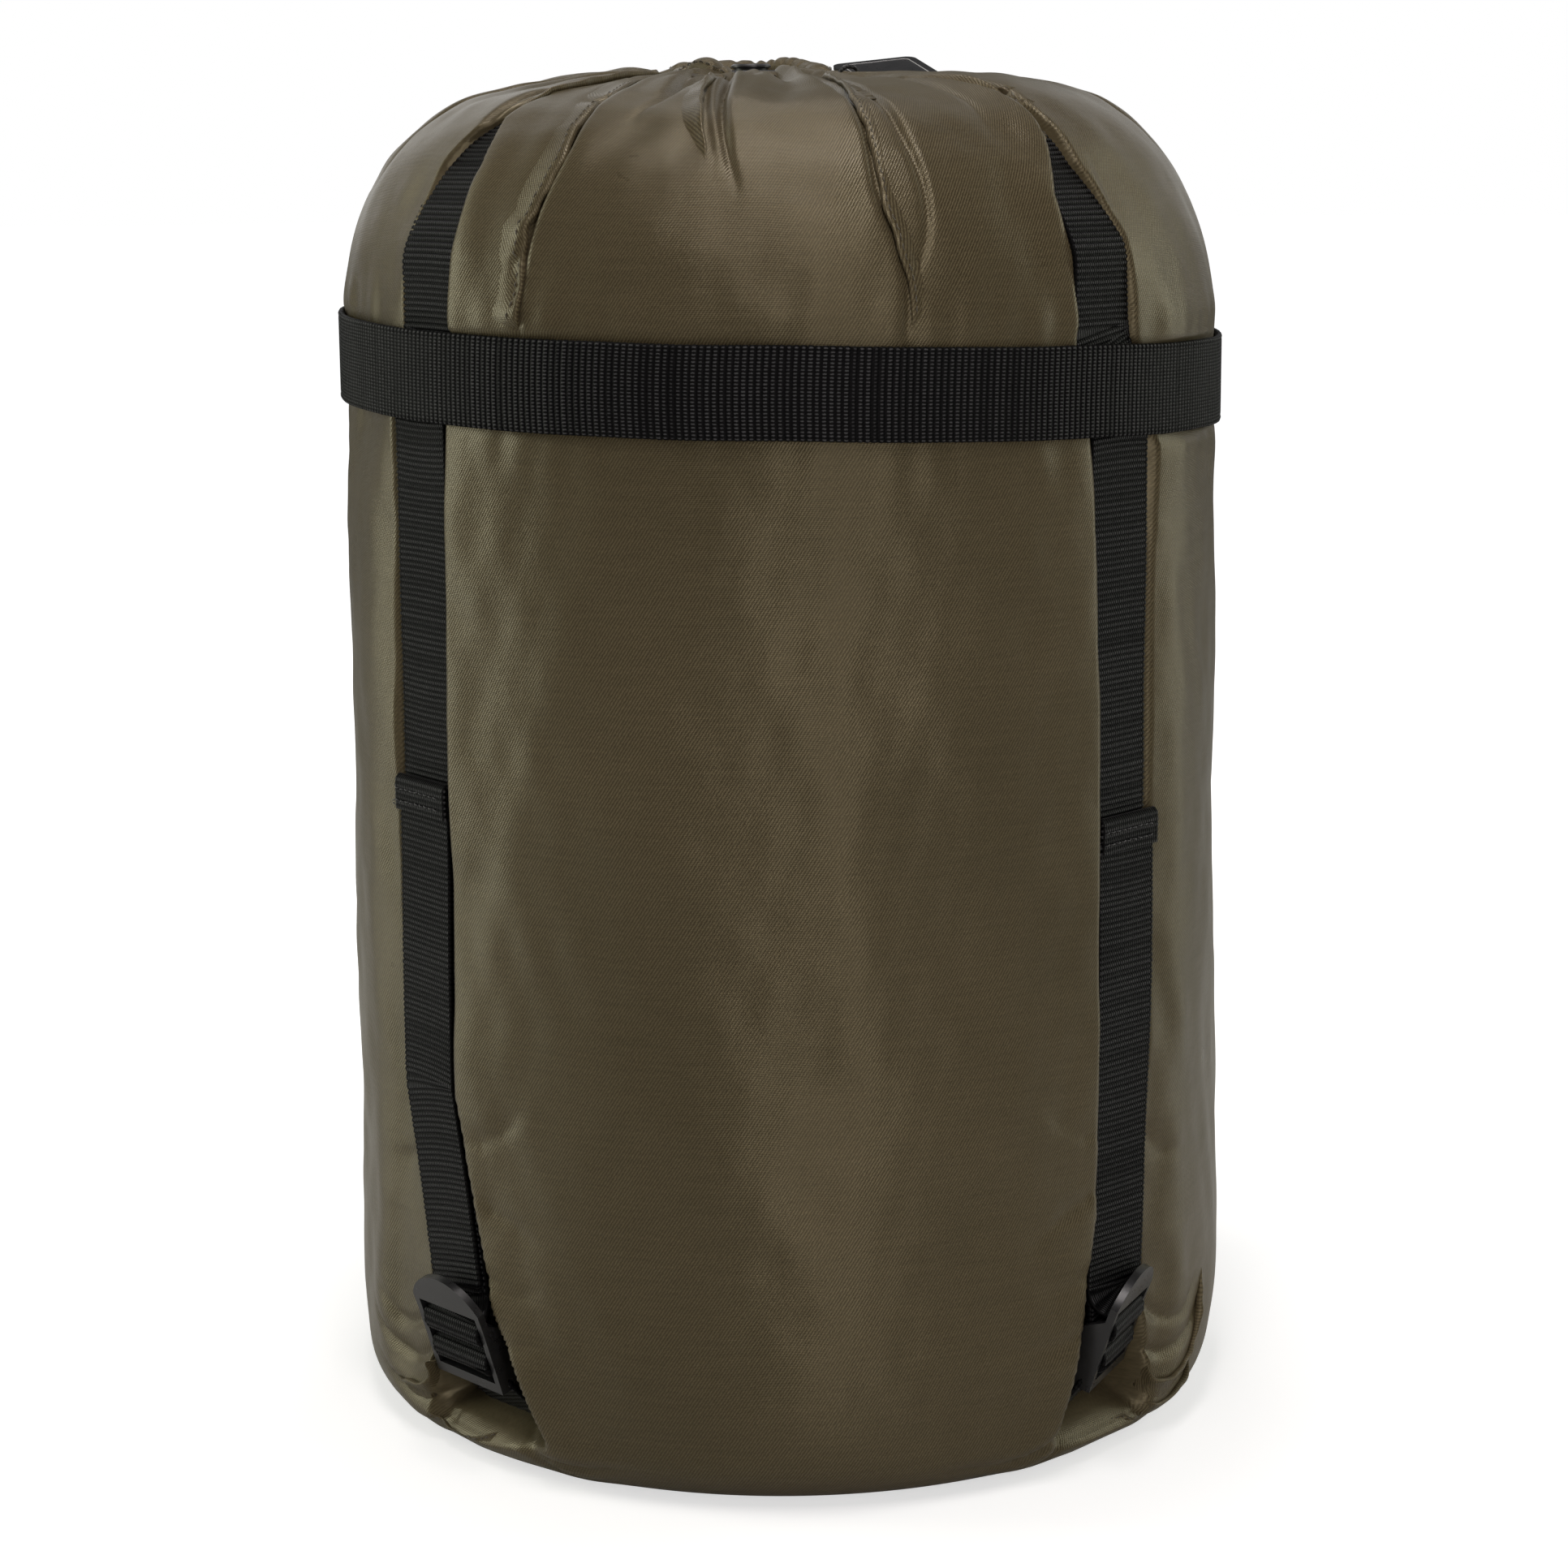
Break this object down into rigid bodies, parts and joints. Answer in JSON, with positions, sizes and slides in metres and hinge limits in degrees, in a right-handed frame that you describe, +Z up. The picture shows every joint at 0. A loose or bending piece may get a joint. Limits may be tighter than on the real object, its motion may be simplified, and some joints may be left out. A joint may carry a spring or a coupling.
{
  "type": "stuff sack",
  "caption": "Packed compression stuff sack with gathered drawcord mouth, girth band and vertical straps tightened by ladder locks.",
  "frame": {"origin": "centre of the base, on the surface the sack stands on", "axes": "+Z up towards the drawn mouth; front towards -Y; +X to the right seen from the front"},
  "size_m": [0.2596, 0.2609, 0.3984],
  "materials": {
    "sack_cloth": "satin",
    "packed_load": "matte",
    "seam_tape": "matte",
    "webbing": "matte",
    "thread": "matte",
    "cord": "matte",
    "buckle_plastic": "satin",
    "lock_plastic": "satin",
    "spring_wire": "satin",
    "tag_card": "gloss"
  },
  "bodies": {
    "sack": {"packed_load": "packed_load", "sack_wall": "sack_cloth", "base_panel": "sack_cloth", "mouth_hem": "sack_cloth", "base_seam_tape": "seam_tape", "girth_band": "webbing", "girth_band_lap": "webbing", "bar_tacks": "thread", "drawcord": "cord", "cord_lock_body": "lock_plastic", "cord_lock_spring": "spring_wire", "tag_loop": "cord", "strap_front_left": "webbing", "anchor_front_left": "webbing", "strap_front_right": "webbing", "anchor_front_right": "webbing", "strap_back_right": "webbing", "anchor_back_right": "webbing", "strap_back_left": "webbing", "anchor_back_left": "webbing"},
    "ladder_lock_front_left": {"buckle_front_left": "buckle_plastic", "strap_wrap_front_left": "webbing"},
    "loose_tail_front_left": {"tail_front_left": "webbing", "tail_hem_front_left": "webbing"},
    "ladder_lock_front_right": {"buckle_front_right": "buckle_plastic", "strap_wrap_front_right": "webbing"},
    "loose_tail_front_right": {"tail_front_right": "webbing", "tail_hem_front_right": "webbing"},
    "ladder_lock_back_right": {"buckle_back_right": "buckle_plastic", "strap_wrap_back_right": "webbing"},
    "loose_tail_back_right": {"tail_back_right": "webbing", "tail_hem_back_right": "webbing"},
    "ladder_lock_back_left": {"buckle_back_left": "buckle_plastic", "strap_wrap_back_left": "webbing"},
    "loose_tail_back_left": {"tail_back_left": "webbing", "tail_hem_back_left": "webbing"},
    "lock_plunger": {"cord_lock_plunger": "lock_plastic"},
    "tag": {"hang_tag": "tag_card"}
  },
  "joints": [
    {"name": "ladder_lock_tilt_front_left", "type": "hinge", "parent": "sack", "child": "ladder_lock_front_left", "pos_m": [-0.08772, -0.08992, 0.033], "axis": [0.7071, -0.7071, 0], "range_deg": [0, 25]},
    {"name": "tail_lift_front_left", "type": "hinge", "parent": "sack", "child": "loose_tail_front_left", "pos_m": [-0.08895, -0.09095, 0.05], "axis": [0.6428, -0.766, 0], "range_deg": [0, 20]},
    {"name": "ladder_lock_tilt_front_right", "type": "hinge", "parent": "sack", "child": "ladder_lock_front_right", "pos_m": [0.09511, -0.08111, 0.033], "axis": [0.3746, 0.9272, 0], "range_deg": [0, 25]},
    {"name": "tail_lift_front_right", "type": "hinge", "parent": "sack", "child": "loose_tail_front_right", "pos_m": [0.09634, -0.08214, 0.05], "axis": [0.6428, 0.766, 0], "range_deg": [0, 20]},
    {"name": "ladder_lock_tilt_back_right", "type": "hinge", "parent": "sack", "child": "ladder_lock_back_right", "pos_m": [0.09833, 0.07728, 0.033], "axis": [-0.5299, 0.848, 0], "range_deg": [0, 25]},
    {"name": "tail_lift_back_right", "type": "hinge", "parent": "sack", "child": "loose_tail_back_right", "pos_m": [0.09955, 0.07831, 0.05], "axis": [-0.6428, 0.766, 0], "range_deg": [0, 20]},
    {"name": "ladder_lock_tilt_back_left", "type": "hinge", "parent": "sack", "child": "ladder_lock_back_left", "pos_m": [-0.09126, 0.08571, 0.033], "axis": [-0.5592, -0.829, 0], "range_deg": [0, 25]},
    {"name": "tail_lift_back_left", "type": "hinge", "parent": "sack", "child": "loose_tail_back_left", "pos_m": [-0.09248, 0.08674, 0.05], "axis": [-0.6428, -0.766, 0], "range_deg": [0, 20]},
    {"name": "cord_lock_press", "type": "slide", "parent": "sack", "child": "lock_plunger", "axis": [0, 0, -1], "range_m": [0, 0.0025], "stiffness_N_per_m": 600, "springref_m": -0.004, "deforming": ["cord_lock_spring"]},
    {"name": "hang_tag_flip", "type": "hinge", "parent": "sack", "child": "tag", "pos_m": [0.02055, -0.00193, 0.39202], "axis": [0.3746, -0.8956, -0.24], "range_deg": [0, 60]}
  ]
}
